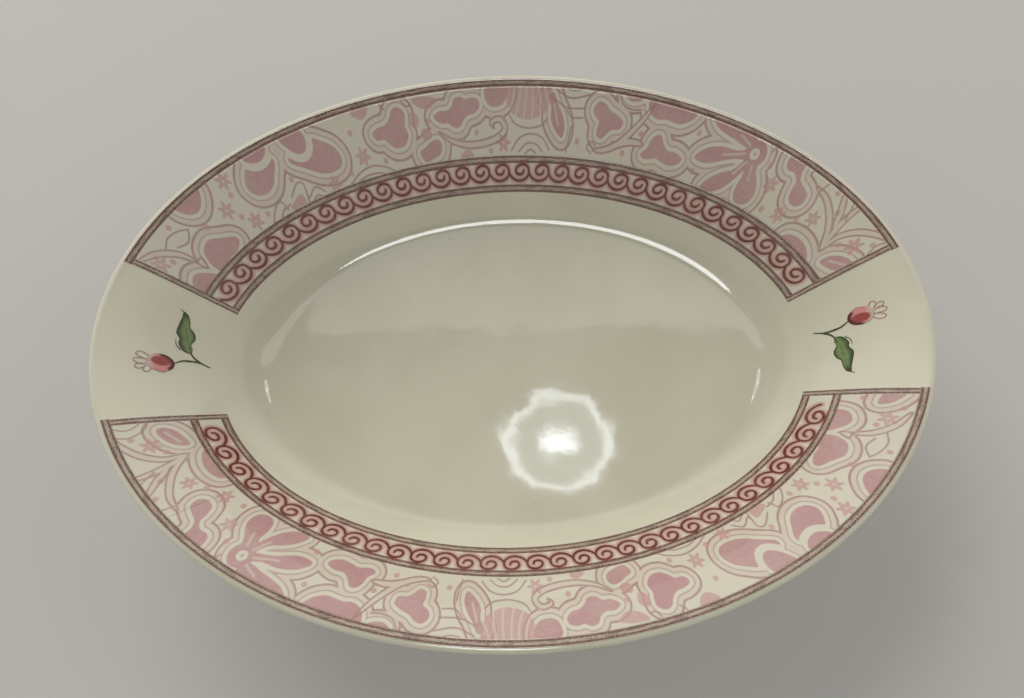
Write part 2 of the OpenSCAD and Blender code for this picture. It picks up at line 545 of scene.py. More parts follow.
@dataclass(frozen=True)
class FlowerDrawing:
    """The border's flowers in plan, on the panel at the back: petals, stars, dots, stems and lines."""

    petals: tuple[Line, ...] = (
        # half round at the left end, the heart, and the half round at the rim
        ((-115, 22.2), (-112.6, 24.3), (-109.8, 25.2), (-107.4, 24.8), (-108.6, 22.6), (-110.6, 21),
         (-113, 20.4)),
        ((-97.1, 36), (-95.6, 39.4), (-92, 40.8), (-88.8, 41.9), (-87.5, 41.2), (-88.6, 38.2), (-90.6, 36),
         (-91, 33.6), (-92.8, 31.9), (-95.6, 32.9)),
        ((-101, 26.8), (-100.4, 29), (-98, 30.3), (-95, 30.7), (-93, 30.6), (-93.6, 27), (-95.4, 24.6),
         (-98.6, 24.1), (-100.5, 25.2)),
        ((-103, 46.2), (-100.5, 45.1), (-97.8, 45.8), (-96.2, 48), (-96, 51.5), (-97.5, 53), (-101, 50)),
        # the two great lobes and the small ones between them and the rim
        ((-83.4, 56.4), (-82.8, 60), (-79.8, 63), (-76, 64.2), (-74.4, 63), (-74.8, 60), (-75.6, 57),
         (-77.6, 54.8), (-80.4, 53.8), (-82.6, 54.6)),
        ((-70, 63.6), (-69, 66.6), (-66, 69.6), (-62.6, 70.4), (-59.6, 70), (-56.6, 69.2), (-54.4, 67.2),
         (-54.4, 64.9), (-57, 63), (-61, 62.2), (-65.2, 62.7)),
        # trefoil, cross flower and second trefoil
        ((-43.9, 73.2), (-42.2, 74.7), (-39.8, 75.6), (-38.3, 77.2), (-37.4, 79.3), (-35.6, 80.2),
         (-33.6, 79.3), (-33.2, 77.4), (-33.4, 75.8), (-32.5, 73.6), (-33.8, 71.2), (-36.6, 70.4),
         (-38.8, 71.2), (-40.2, 72.1), (-42.6, 71.8)),
        ((-29, 69.8), (-27, 71.2), (-25.4, 72.4), (-23.2, 73.1), (-21.8, 71.9), (-22.2, 70), (-24.6, 68.6),
         (-27.4, 67.8)),
        ((-24, 78.2), (-22.2, 79.7), (-19.6, 80), (-18, 81.2), (-17.2, 82.8), (-15.3, 83.4), (-13.5, 82.8),
         (-11.6, 83.2), (-9.6, 82.8), (-9, 81.2), (-10.4, 79.7), (-12.8, 79), (-14.3, 77.8), (-15.4, 76.3),
         (-17.4, 76), (-19.4, 77), (-21.6, 76.9)),
        ((-6.8, 85.6), (-7, 82.8), (-5.4, 81.2), (-2.6, 81.2), (-0.6, 82.5), (0, 85.6)),
        # hanging frond, its leaf, and the heart
        ((13.2, 82.6), (14.4, 80.2), (14.3, 77.6), (15.6, 75), (17.8, 73), (18.7, 75), (18.2, 78),
         (16.6, 81), (15.2, 84)),
        ((28.3, 79.4), (30.2, 80.7), (32.2, 79.9), (33.6, 78.3), (35.8, 77), (37.7, 75.2), (36.8, 73.5),
         (34.4, 73.6), (32.8, 72.9), (31, 71.8), (29.3, 72.7), (29.5, 74.5), (30, 76), (28.5, 77.6)),
        # half round and bean at the rim, and the third trefoil
        ((38.6, 81.6), (40, 80), (42.5, 79.6), (44.8, 80.3), (45.4, 82.4), (42, 83)),
        ((45.8, 78.6), (46.4, 76.2), (48.6, 74.5), (51.2, 74.1), (53.2, 73.3), (56, 72.3), (59.6, 72.9),
         (61.9, 75), (60.2, 77.6), (55, 79.4), (50, 80.6), (46.8, 80.6)),
        ((43.8, 66.8), (45.4, 65.4), (48.6, 65.1), (50.6, 64), (53, 62.8), (55.8, 62.7), (57, 63.7),
         (55, 65.5), (52.4, 66.4), (51, 68.2), (50.2, 70.3), (48.4, 70.6), (46.8, 69.5), (45.8, 67.9)),
        # five-petalled flower
        ((61, 63.6), (63.4, 64.9), (66.6, 65.1), (70, 64.4), (73.4, 62.9), (76.4, 62.2), (76.4, 60.2),
         (73, 60.9), (69.6, 61.2), (66, 61.2), (63, 62)),
        ((63.4, 56), (66, 57.6), (69.4, 58.2), (73, 58.3), (76.6, 60), (77.6, 58.4), (75.4, 57),
         (72.6, 55.3), (69.5, 54.2), (66, 54.3)),
        ((76.8, 59.4), (75.8, 56), (74.1, 53.4), (73.9, 50.8), (75.6, 49.2), (78, 48.9), (79.8, 50.5),
         (80.2, 53), (79.7, 56), (80, 59)),
        ((66.4, 72.6), (67.4, 70), (70, 67.7), (73, 65.6), (75.8, 63.4), (78.6, 62.4), (79.4, 64.4),
         (77.8, 67.8), (74, 71.4), (69.6, 74)),
        ((75.6, 60.8), (76.6, 63.2), (79, 64.2), (81.6, 63.2), (82.4, 60.8), (81.4, 58.4), (79, 57.6),
         (76.6, 58.4)),
        # bean, band petal, pointed leaf
        ((88.3, 56.2), (89.6, 58.4), (92.4, 58.2), (94, 55.6), (92.7, 53.2), (92.4, 51), (93.6, 48.8),
         (94.5, 46.6), (93.2, 44.6), (91, 44.8), (89.6, 46.8), (90.2, 49.2), (91.2, 51), (90.6, 53.4),
         (88.8, 54.6)),
        ((88.4, 36.6), (90.2, 37.7), (93, 36.1), (95.2, 33.2), (96.1, 29.8), (95.2, 28), (93.2, 29.6),
         (91, 32.6)),
        ((99.4, 27.2), (101.4, 28.1), (104.2, 27.3), (106.6, 25.4), (107.2, 23.6), (105.2, 22.9),
         (102.4, 24)),
    )
    front_petals: tuple[Line, ...] = (
        ((-83.4, 62.4), (-80.8, 61.7), (-78.6, 62.5), (-77, 64.3), (-76.8, 66.4), (-80, 65.6)),
        ((-72.8, 69.2), (-70, 66.9), (-67, 66), (-64.9, 67.1), (-64.6, 69.8), (-66.4, 72), (-70, 71.2)),
    )
    patches: tuple[Line, ...] = (
        ((-71.2, 52.2), (-69.6, 54.8), (-67.6, 56.2), (-66.2, 53.8), (-67, 52.4)),
        ((-50.4, 77.8), (-48, 76.4), (-45.8, 77), (-44.8, 79.6), (-47.5, 79.6)),
        ((-31.8, 79), (-29.8, 79), (-28.8, 77.5), (-29.4, 75.6), (-31.4, 75.9), (-32, 77.4)),
        ((-30.9, 82.4), (-27, 83.2), (-23, 82.8), (-24.5, 80.7), (-27, 80.1), (-29.5, 80.9)),
        ((-28, 75.3), (-25.7, 75.4), (-24.8, 73.8), (-26.4, 72.7), (-28, 73.3)),
        ((-15.8, 69.4), (-13.2, 71.1), (-11.4, 69.7), (-13.4, 68.8)),
        ((112.8, 20.2), (113.4, 22), (115.2, 22.4), (116.4, 21)),
        ((0.6, 87), (-0.2, 82.6), (1.4, 79.6), (4.4, 78.2), (8, 77.8), (11.2, 78.8), (13.4, 80.6),
         (13.8, 87)),
    )
    eyes: tuple[tuple[float, float, float], ...] = ((78.9, 60.9, 1.5),)
    veins: tuple[Line, ...] = (
        ((2.6, 86.4), (2.0, 82.8), (0.6, 80.2)), ((4.5, 86.4), (4.0, 82.2), (2.6, 78.6)),
        ((6.4, 86.4), (6.1, 82.0), (5.2, 77.8)), ((8.4, 86.4), (8.5, 82.0), (8.0, 77.4)),
        ((10.3, 86.4), (10.8, 82.4), (10.9, 78.4)), ((12.1, 86.4), (12.9, 83.2), (14.2, 80.6)),
        ((76, 61.6), (73, 62), (69.6, 62.6)), ((76.6, 59.4), (73, 57.2)), ((78.4, 58), (77.6, 54.6)),
        ((77.4, 63.4), (74.6, 66.6)),
        ((101.6, 26.8), (105.4, 24.4)), ((15.4, 81), (16.6, 76)),
    )
    stars: tuple[tuple[float, float, float], ...] = (
        (-108.0, 30.0, 2.5), (-89.5, 48.3, 2.4), (-82.0, 47.2, 2.3), (-89.4, 55.8, 2.4),
        (-47.4, 67.6, 2.4), (-1.4, 72.6, 2.4), (84.3, 52.0, 2.3), (87.3, 43.5, 2.2),
        (96.6, 39.8, 2.2), (107.4, 29.0, 2.5), (-57.0, 60.2, 2.1),
    )
    dots: Line = (
        (-105.0, 31.4), (-112.2, 27.7), (-105.0, 40.5), (-95.4, 42.8), (-87.8, 52.5), (-85.8, 47.5),
        (-78.4, 49.7), (-70.1, 59.4), (-50.8, 72.8), (-40.4, 67.2), (-51.6, 63.2), (-26.0, 77.2),
        (23.0, 71.8), (43.6, 71.6), (37.9, 67.7), (61.9, 69.2), (60.6, 60.3), (83.6, 56.9),
        (82.4, 46.3), (92.3, 41.0), (102.8, 39.6), (102.6, 45.0), (111.8, 27.9), (103.6, 30.6),
        (-10.2, 75.0), (104.2, 19.8), (-5.6, 70.8), (-105.0, 22.0),
    )
    stems: tuple[Line, ...] = (
        ((-113.4, 29.4), (-108.8, 32.6), (-103.6, 33.8), (-99.2, 33.0)),
        ((-22.6, 74.8), (-18.4, 72.9), (-13.6, 72.1), (-8.6, 72.4), (-3.4, 73.7), (-0.8, 75.8),
         (-2.4, 78.0), (-5.2, 77.4), (-4.4, 76.0)),
        ((48.0, 78.4), (44.0, 74.8), (40.0, 72.0), (36.0, 69.9), (31.6, 69.1), (28.4, 69.4)),
        ((34.8, 69.4), (39.6, 70.1), (44.4, 69.0)),
        ((97.0, 48.2), (99.6, 44.4), (100.8, 39.4), (100.6, 35.0), (99.0, 30.4)),
        ((99.0, 30.4), (102.2, 34.6), (105.6, 37.8), (109.6, 40.2)),
        ((99.0, 30.4), (103.4, 32.9), (108.4, 32.6), (113.0, 30.4), (116.6, 27.4)),
        ((102.0, 35.2), (103.6, 39.6), (104.6, 44.6)),
    )
    lines: tuple[Line, ...] = (
        ((-106.4, 34.4), (-105.6, 37.6), (-103.0, 40.0), (-100.2, 41.2)),
        ((-103.4, 35.6), (-100.6, 37.8), (-100.2, 41.2)),
        ((-99.4, 32.6), (-97.9, 34.4), (-96.8, 31.8), (-99.4, 32.6)),
        ((-77.0, 46.8), (-76.4, 50.4), (-74.4, 53.4), (-72.2, 51.8)),
        ((-74.8, 48.6), (-73.6, 51.4), (-71.4, 53.2)),
        ((-70.8, 55.0), (-68.8, 58.6), (-66.8, 58.8), (-65.6, 55.8), (-63.4, 58.6), (-60.4, 58.0)),
        ((-66.2, 56.8), (-65.2, 54.2), (-62.8, 56.8), (-60.6, 56.2)),
        ((-52.4, 60.2), (-49.2, 63.4), (-45.0, 65.6), (-40.6, 65.8), (-37.6, 65.0)),
        ((-49.6, 61.4), (-46.6, 63.2), (-42.8, 64.2), (-40.0, 64.0)),
        ((-42.0, 83.4), (-41.0, 80.4), (-39.4, 79.2)),
        ((-34.2, 82.0), (-32.8, 80.6), (-31.4, 80.8)),
        ((15.8, 82.2), (19.6, 80.0), (25.6, 79.4)),
        ((16.4, 84.4), (21.0, 82.2), (27.0, 82.6)),
        ((18.4, 85.4), (22.0, 84.0), (26.2, 84.6)),
        ((19.6, 79.4), (21.2, 77.6), (24.8, 77.2)),
        ((0.6, 79.2), (2.4, 77.0), (6.4, 75.8), (11.0, 76.2), (13.2, 77.8)),
        ((1.2, 70.8), (4.0, 73.6), (8.0, 74.4), (11.6, 73.2), (13.8, 70.4)),
        ((3.6, 70.4), (6.2, 72.2), (9.2, 72.0), (11.4, 70.2)),
        ((5.8, 70.0), (7.6, 70.8), (9.2, 69.9)),
        ((19.2, 69.6), (20.2, 72.6), (21.0, 75.4)),
        ((27.6, 68.6), (26.2, 70.2), (27.8, 71.4), (29.0, 70.4)),
        ((36.4, 82.4), (37.6, 79.4), (40.4, 77.8), (43.6, 77.4)),
        ((84.6, 62.8), (83.0, 64.0), (81.2, 65.0)),
        ((84.0, 60.4), (85.6, 61.6), (87.0, 60.4)),
        ((98.0, 46.8), (101.4, 48.6), (103.4, 47.4)),
        ((104.8, 37.0), (106.8, 41.0), (106.8, 43.4)),
        ((111.0, 19.6), (111.4, 23.0), (113.6, 25.2), (116.6, 25.0)),
        ((109.6, 19.2), (109.8, 24.2), (112.6, 27.4), (116.4, 27.6)),
    )
    star_points: int = 6
    dot_radius: float = 0.75
    stem_half: float = 0.85
    front_gap: float = 2.0

    def petal(self, spots: np.ndarray) -> np.ndarray:
        """Signed distance to the nearest petal.

        A front petal keeps the others a gap away from itself, an eye counts as outside, and inside a stem
        the distance is held between the two outlines, so that neither crosses it.

        Args:
            spots: plan points.

        Returns:
            The distances.
        """
        front = self.shape_of(self.front_petals, spots)
        nearest = np.minimum(front, np.maximum(self.shape_of(self.petals, spots), self.front_gap - front))
        for x, y, radius in self.eyes:
            nearest = np.maximum(nearest, radius - np.linalg.norm(spots - [x, y], axis=1))
        return np.where((self.stem(spots) < 0.25) & (nearest > 0.8), self.front_gap, nearest)

    @staticmethod
    def shape_of(shapes: tuple[Line, ...], spots: np.ndarray) -> np.ndarray:
        """Signed distance to the nearest of some closed shapes.

        Args:
            shapes: the points that each outline passes through.
            spots: plan points.

        Returns:
            The distances.
        """
        nearest = np.full(len(spots), FAR)
        for points in shapes:
            outline = closed_path(points)
            near = near_only(spots, outline, 4.0)
            nearest[near] = np.minimum(nearest[near], outline_distance(spots[near], outline))
        return nearest

    def star(self, spots: np.ndarray) -> np.ndarray:
        """Signed distance to the nearest star, dot or plain patch.

        A star's outline is its radius times a wave with one crest for each point.

        Args:
            spots: plan points.

        Returns:
            The distances.
        """
        nearest = self.shape_of(self.patches, spots)
        for x, y, radius in self.stars:
            off = spots - [x, y]
            turn = np.arctan2(off[:, 1], off[:, 0])
            edge = radius * (0.74 + 0.26 * np.cos(self.star_points * turn))
            length = np.linalg.norm(off, axis=1)
            nearest = np.minimum(nearest, np.maximum((length - edge) * 0.8, 0.13 * radius - length))
        for x, y in self.dots:
            nearest = np.minimum(nearest, np.linalg.norm(spots - [x, y], axis=1) - self.dot_radius)
        return nearest

    def stem(self, spots: np.ndarray) -> np.ndarray:
        """Signed distance to the sides of the stems, less than nothing inside one.

        A stem is as wide as its half width in the middle and narrows to a point at each end, as the
        square root of a parabola does.

        Args:
            spots: plan points.

        Returns:
            The distances.
        """
        joined = np.full(len(spots), FAR)
        for points in self.stems:
            path = smooth_path(points)
            near = near_only(spots, path, 3.0)
            share = np.linspace(0, 1, len(path))
            half = self.stem_half * np.sqrt(np.clip(4 * share * (1 - share), 0, 1))
            for start, end, width in zip(path[:-1], path[1:], (half[:-1] + half[1:]) / 2):
                off = path_distance(spots[near], np.stack([start, end])) - width
                joined[near] = np.minimum(joined[near], off)
        return joined

    def line(self, spots: np.ndarray) -> np.ndarray:
        """Distance to the nearest fine line or side of a stem, where stems have joined.

        Args:
            spots: plan points.

        Returns:
            The distances.
        """
        return np.minimum(np.abs(self.stem(spots)), self.nearest_of(self.lines, spots))

    def vein(self, spots: np.ndarray) -> np.ndarray:
        """Distance to the nearest pale vein inside a petal."""
        return self.nearest_of(self.veins, spots)

    @staticmethod
    def nearest_of(drawn: tuple[Line, ...], spots: np.ndarray) -> np.ndarray:
        """Distance to the nearest of some smooth lines.

        Args:
            drawn: the points that each line passes through.
            spots: plan points.

        Returns:
            The distances.
        """
        nearest = np.full(len(spots), FAR)
        for points in drawn:
            path = smooth_path(points)
            near = near_only(spots, path, 3.0)
            nearest[near] = np.minimum(nearest[near], path_distance(spots[near], path))
        return nearest


@dataclass(frozen=True)
class ScrollDrawing:
    """The running scrolls: each is a spiral whose tail passes under the one before."""

    pitch: float = 6.9
    count: int = 32
    offset: float = 1.4
    inset: float = 23.8
    unit: Line = (
        (0.5, 0.35), (0.2, -0.25), (-0.75, -0.55), (-1.8, -0.3), (-2.2, 0.5), (-1.5, 1.4), (0.0, 1.85),
        (1.6, 1.45), (2.3, 0.35), (1.95, -0.95), (0.6, -1.8), (-1.1, -2.05), (-2.8, -1.65), (-4.1, -0.75),
        (-4.7, 0.1),
    )

    def distance(self, along: np.ndarray, outward: np.ndarray) -> np.ndarray:
        """Distance to the nearest scroll's line.

        Each spot is folded back to within half a pitch of its own scroll, and its neighbours are tried.

        Args:
            along: distance along the strip from the middle of the row of scrolls.
            outward: distance outward from the row's middle line.

        Returns:
            The distances.
        """
        line = smooth_path(self.unit, 4)
        number = np.round(along / self.pitch + (self.count - 1) / 2)
        nearest = np.full(len(along), FAR)
        for neighbour in (-1, 0, 1):
            place = number + neighbour
            off = along - (place - (self.count - 1) / 2) * self.pitch
            there = (place >= 0) & (place < self.count)
            distance = path_distance(np.stack([off, outward], 1), line)
            nearest = np.where(there, np.minimum(nearest, distance), nearest)
        return nearest


# ---------------------------------------------------------------- materials


class Wiring:
    """Adds nodes to one node tree and joins them, so that a finish reads as a short sum."""

    def __init__(self, tree: bpy.types.NodeTree) -> None:
        """Keeps the tree to add to."""
        self.tree = tree

    def add(self, kind: str, **settings: object) -> bpy.types.Node:
        """Adds a node of a kind, with its settings.

        Args:
            kind: Blender's name for the node.
            settings: its properties by name.

        Returns:
            The node.
        """
        node = self.tree.nodes.new(kind)
        for key, value in settings.items():
            setattr(node, key, value)
        return node

    def feed(self, socket: bpy.types.NodeSocket, value: object) -> None:
        """Links a socket to another, or sets its value.

        Args:
            socket: the input.
            value: an output socket, a number or a colour.
        """
        if isinstance(value, bpy.types.NodeSocket):
            self.tree.links.new(value, socket)
        else:
            socket.default_value = value

    def math(self, operation: str, *values: object) -> bpy.types.NodeSocket:
        """One step of arithmetic.

        Args:
            operation: Blender's name for it.
            values: sockets or numbers.

        Returns:
            The result.
        """
        node = self.add("ShaderNodeMath", operation=operation)
        for socket, value in zip(node.inputs, values):
            self.feed(socket, value)
        return node.outputs[0]

    def step(self, value: object, start: float, end: float) -> bpy.types.NodeSocket:
        """Smooth step from nothing at start to one at end, which may be the lower of the two.

        Args:
            value: socket to read.
            start: value that gives nothing.
            end: value that gives one.

        Returns:
            The step.
        """
        node = self.add("ShaderNodeMapRange", interpolation_type="SMOOTHSTEP")
        limits = (start, end, 0.0, 1.0) if start < end else (end, start, 1.0, 0.0)
        for socket, number in zip(node.inputs, (value, *limits)):
            self.feed(socket, number)
        return node.outputs[0]

    def band(self, value: object, middle: float, half: float, soft: float) -> bpy.types.NodeSocket:
        """One within half of the middle, easing to nothing over the soft width.

        Args:
            value: socket to read.
            middle: middle of the band.
            half: half its width.
            soft: width of its soft edge.

        Returns:
            The mask.
        """
        off = self.math("ABSOLUTE", self.math("SUBTRACT", value, middle))
        return self.step(off, half + soft, half)

    def blend(self, factor: object, first: object, second: object) -> bpy.types.NodeSocket:
        """Mixes two colours.

        Args:
            factor: share of the second.
            first: colour at nothing.
            second: colour at one.

        Returns:
            The mixed colour.
        """
        node = self.add("ShaderNodeMix", data_type="RGBA")
        for socket, value in ((node.inputs[0], factor), (node.inputs[6], first), (node.inputs[7], second)):
            self.feed(socket, value)
        return node.outputs[2]

    def held(self, name: str) -> bpy.types.NodeSocket:
        """Number held at each point of the piece.

        Args:
            name: the attribute's name.

        Returns:
            Its value.
        """
        return self.add("ShaderNodeAttribute", attribute_name=name).outputs["Fac"]

    def noise(self, vector: object, scale: float, detail: float = 2.0) -> bpy.types.NodeSocket:
        """Cloudy noise.

        Args:
            vector: where to read it.
            scale: how fine it is.
            detail: how many finer layers it has.

        Returns:
            The noise, from nothing to one.
        """
        node = self.add("ShaderNodeTexNoise")
        self.feed(node.inputs["Vector"], vector)
        node.inputs["Scale"].default_value = scale
        node.inputs["Detail"].default_value = detail
        return node.outputs["Fac"]

    def place(self) -> bpy.types.NodeSocket:
        """Object coordinates, in metres."""
        return self.add("ShaderNodeTexCoord").outputs["Object"]


class Effects:
    """Node groups that several finishes share, each built once."""

    def __init__(self) -> None:
        """Builds the groups."""
        self.ripple = self._ripple()
        self.double_line = self._double_line()
        self.grain = self._grain()

    @staticmethod
    def _group(name: str, inputs: Sequence[str], outputs: Sequence[tuple[str, str]]) -> tuple:
        """Starts a group with number inputs.

        Args:
            name: name of the group.
            inputs: names of its inputs.
            outputs: names and kinds of its outputs.

        Returns:
            The group, its wiring, its input sockets and its output sockets.
        """
        tree = bpy.data.node_groups.new(name, "ShaderNodeTree")
        for key in inputs:
            tree.interface.new_socket(key, in_out="INPUT", socket_type="NodeSocketFloat")
        for key, kind in outputs:
            tree.interface.new_socket(key, in_out="OUTPUT", socket_type=kind)
        wiring = Wiring(tree)
        entry = wiring.add("NodeGroupInput")
        leave = wiring.add("NodeGroupOutput")
        return tree, wiring, entry.outputs, leave.inputs

    def _ripple(self) -> bpy.types.NodeTree:
        """Glaze: a long slow ripple with a fine orange peel, as a normal."""
        tree, w, _, out = self._group(
            "glaze_ripple", (), (("Normal", "NodeSocketVector"),))
        place = w.place()
        height = w.math("ADD", w.math("MULTIPLY", w.noise(place, 55.0, 1.0), 1.0),
                        w.math("MULTIPLY", w.noise(place, 420.0, 1.0), 0.05))
        bump = w.add("ShaderNodeBump")
        bump.inputs["Strength"].default_value = 1.0
        bump.inputs["Distance"].default_value = 0.00006
        w.feed(bump.inputs["Height"], height)
        w.feed(out["Normal"], bump.outputs["Normal"])
        return tree

    def _double_line(self) -> bpy.types.NodeTree:
        """Two thin printed lines with a stipple between, both heavier in dashes along them."""
        tree, w, into, out = self._group(
            "double_line", ("Across", "Along"), (("Ink", "NodeSocketFloat"), ("Dark", "NodeSocketFloat")))
        half = 0.62
        side = w.math("MULTIPLY", w.math("SIGN", into["Across"]), 5.0)
        spot = w.add("ShaderNodeCombineXYZ")
        w.feed(spot.inputs[0], w.math("MULTIPLY", into["Along"], 0.17))
        w.feed(spot.inputs[1], side)
        dash = w.step(w.noise(spot.outputs[0], 1.0, 1.0), 0.42, 0.60)
        fine = w.add("ShaderNodeCombineXYZ")
        w.feed(fine.inputs[0], w.math("MULTIPLY", into["Along"], 1.3))
        w.feed(fine.inputs[1], w.math("MULTIPLY", into["Across"], 2.6))
        grit = w.noise(fine.outputs[0], 1.6, 2.0)
        lane = w.math("ADD", w.math("ABSOLUTE", into["Across"]), w.math("MULTIPLY_ADD", grit, 0.5, -0.25))
        stipple = w.step(grit, 0.30, 0.58)
        line = w.band(lane, half, 0.20, 0.22)
        between = w.step(lane, half + 0.12, half - 0.12)
        strong = w.math("MULTIPLY", line, w.math("MULTIPLY_ADD", stipple, 0.34, 0.64))
        weak = w.math("MULTIPLY", w.math("MULTIPLY_ADD", stipple, 0.4, 0.6),
                      w.math("MULTIPLY", between, w.math("MULTIPLY_ADD", dash, 0.24, 0.52)))
        w.feed(out["Ink"], w.math("MAXIMUM", strong, weak))
        w.feed(out["Dark"], w.math("MAXIMUM", dash, w.math("MULTIPLY", line, 0.75)))
        return tree

    def _grain(self) -> bpy.types.NodeTree:
        """Uneven density of printed ink, from about four fifths to one."""
        tree, w, _, out = self._group("ink_grain", (), (("Density", "NodeSocketFloat"),))
        place = w.place()
        rough = w.noise(place, 900.0, 3.0)
        cloud = w.noise(place, 90.0, 2.0)
        both = w.math("ADD", w.math("MULTIPLY", rough, 0.5), w.math("MULTIPLY", cloud, 0.5))
        w.feed(out["Density"], w.math("MULTIPLY_ADD", w.step(both, 0.3, 0.65), 0.2, 0.8))
        return tree


class Gloss(Enum):
    """How a surface shines: the roughness of its shader."""

    GLAZED = 0.035
    BISQUE = 0.72
    STAGE = 0.6


@dataclass(frozen=True)
class Palette:
    """Colours of the glaze, the clay and the inks."""

    cream: Colour = ink(220, 218, 198)
    cream_shade: Colour = ink(214, 211, 190)
    print_ground: Colour = ink(216, 211, 194)
    bisque: Colour = ink(222, 212, 192)
    bisque_stain: Colour = ink(196, 180, 154)
    pink: Colour = ink(190, 148, 149)
    pale_pink: Colour = ink(208, 180, 172)
    outline: Colour = ink(170, 136, 130)
    star: Colour = ink(198, 156, 152)
    scroll: Colour = ink(102, 50, 46)
    scroll_ground: Colour = ink(200, 160, 150)
    plum: Colour = ink(92, 42, 40)
    taupe: Colour = ink(134, 92, 80)
    leaf: Colour = ink(92, 116, 62)
    leaf_light: Colour = ink(140, 160, 102)
    leaf_dark: Colour = ink(40, 56, 22)
    bud: Colour = ink(212, 136, 126)
    bud_heart: Colour = ink(156, 66, 58)
    bud_dark: Colour = ink(84, 16, 14)


@dataclass(frozen=True)
class Finish:
    """What every finish of the bowl has: the shared groups, the colours, a name and a shine."""

    effects: Effects
    palette: Palette
    name: str = "plain_finish"
    gloss: Gloss = Gloss.GLAZED

    def material(self) -> bpy.types.Material:
        """Makes the material from the finish's shine, surface and colour."""
        made = bpy.data.materials.new(self.name)
        made.use_nodes = True
        w = Wiring(made.node_tree)
        shader = made.node_tree.nodes["Principled BSDF"]
        shader.inputs["Roughness"].default_value = self.gloss.value
        w.feed(shader.inputs["Normal"], self.surface(w))
        w.feed(shader.inputs["Base Color"], self.colour(w))
        return made

    def surface(self, w: Wiring) -> bpy.types.NodeSocket:
        """The glaze's ripple, as a normal."""
        return w.add("ShaderNodeGroup", node_tree=self.effects.ripple).outputs["Normal"]

    def colour(self, w: Wiring) -> bpy.types.NodeSocket:
        """The colour all over, which each finish works out."""
        raise NotImplementedError(self.name)

    def mottled(self, w: Wiring, light: Colour) -> bpy.types.NodeSocket:
        """A light colour with faint clouds of the cream's shade."""
        return w.blend(w.step(w.noise(w.place(), 34.0, 4.0), 0.35, 0.7), light, self.palette.cream_shade)

    def density(self, w: Wiring) -> bpy.types.NodeSocket:
        """Uneven density of the ink."""
        return w.add("ShaderNodeGroup", node_tree=self.effects.grain).outputs["Density"]

    def lines(self, w: Wiring, across: object, along: object, base: object) -> bpy.types.NodeSocket:
        """Prints a double line over a colour.

        Args:
            w: the material's wiring.
            across: signed distance from the middle of the double line.
            along: distance along it.
            base: colour under it.

        Returns:
            The printed colour.
        """
        group = w.add("ShaderNodeGroup", node_tree=self.effects.double_line)
        w.feed(group.inputs["Across"], across)
        w.feed(group.inputs["Along"], along)
        tone = w.blend(group.outputs["Dark"], self.palette.taupe, self.palette.plum)
        return w.blend(group.outputs["Ink"], base, tone)


@dataclass(frozen=True)
class CreamGlaze(Finish):
    """Cream glaze with a faint cloudy mottle and a few tiny specks."""

    name: str = "cream_glaze"

    def colour(self, w: Wiring) -> bpy.types.NodeSocket:
        """Mottled cream, with a speck in the middle of a cell here and there."""
        specks = w.add("ShaderNodeTexVoronoi", feature="F1")
        w.feed(specks.inputs["Vector"], w.place())
        specks.inputs["Scale"].default_value = 95.0
        spot = w.step(specks.outputs["Distance"], 0.035, 0.02)
        rare = w.step(w.noise(w.place(), 60.0, 0.0), 0.62, 0.66)
        share = w.math("MULTIPLY", w.math("MULTIPLY", spot, rare), 0.5)
        return w.blend(share, self.mottled(w, self.palette.cream), self.palette.taupe)


@dataclass(frozen=True)
class Bisque(Finish):
    """Bare fired clay: matt, grainy and a little stained."""

    name: str = "porcelain_bisque"
    gloss: Gloss = Gloss.BISQUE

    def surface(self, w: Wiring) -> bpy.types.NodeSocket:
        """Fine grain, as a normal."""
        bump = w.add("ShaderNodeBump")
        bump.inputs["Strength"].default_value = 0.5
        bump.inputs["Distance"].default_value = 0.0001
        w.feed(bump.inputs["Height"], w.noise(w.place(), 1800.0, 3.0))
        return bump.outputs["Normal"]

    def colour(self, w: Wiring) -> bpy.types.NodeSocket:
        """Clay with cloudy stains."""
        cloud = w.step(w.noise(w.place(), 160.0, 4.0), 0.3, 0.75)
        return w.blend(cloud, self.palette.bisque, self.palette.bisque_stain)


@dataclass(frozen=True)
class FlowerPrint(Finish):
    """Pink petals inside two outlines, stars, dots, double-lined stems and fine lines."""

    name: str = "pink_flower_print"

    def colour(self, w: Wiring) -> bpy.types.NodeSocket:
        """Each mark in turn, by its distance held on the sheet, over the one before."""
        colours = self.palette
        petal, star, line, vein = (w.held(key) for key in ("petal", "star", "line", "vein"))
        density = self.density(w)
        base = w.blend(w.math("MULTIPLY", w.band(petal, 2.1, 0.5, 0.7), 0.3), colours.print_ground,
                       colours.pale_pink)
        marks = (
            (w.band(petal, 1.25, 0.10, 0.20), 0.60, colours.outline),
            (w.band(petal, 2.85, 0.20, 0.22), 0.85, colours.outline),
            (w.step(petal, 0.18, -0.12), 0.98, colours.pink),
            (w.step(star, 0.22, -0.18), 0.82, colours.star),
            (w.step(vein, 0.50, 0.12), 0.62, colours.print_ground),
            (w.step(line, 0.38, 0.12), 0.85, colours.outline),
        )
        for mask, strength, colour in marks:
            base = w.blend(w.math("MULTIPLY", w.math("MULTIPLY", mask, strength), density), base, colour)
        return base


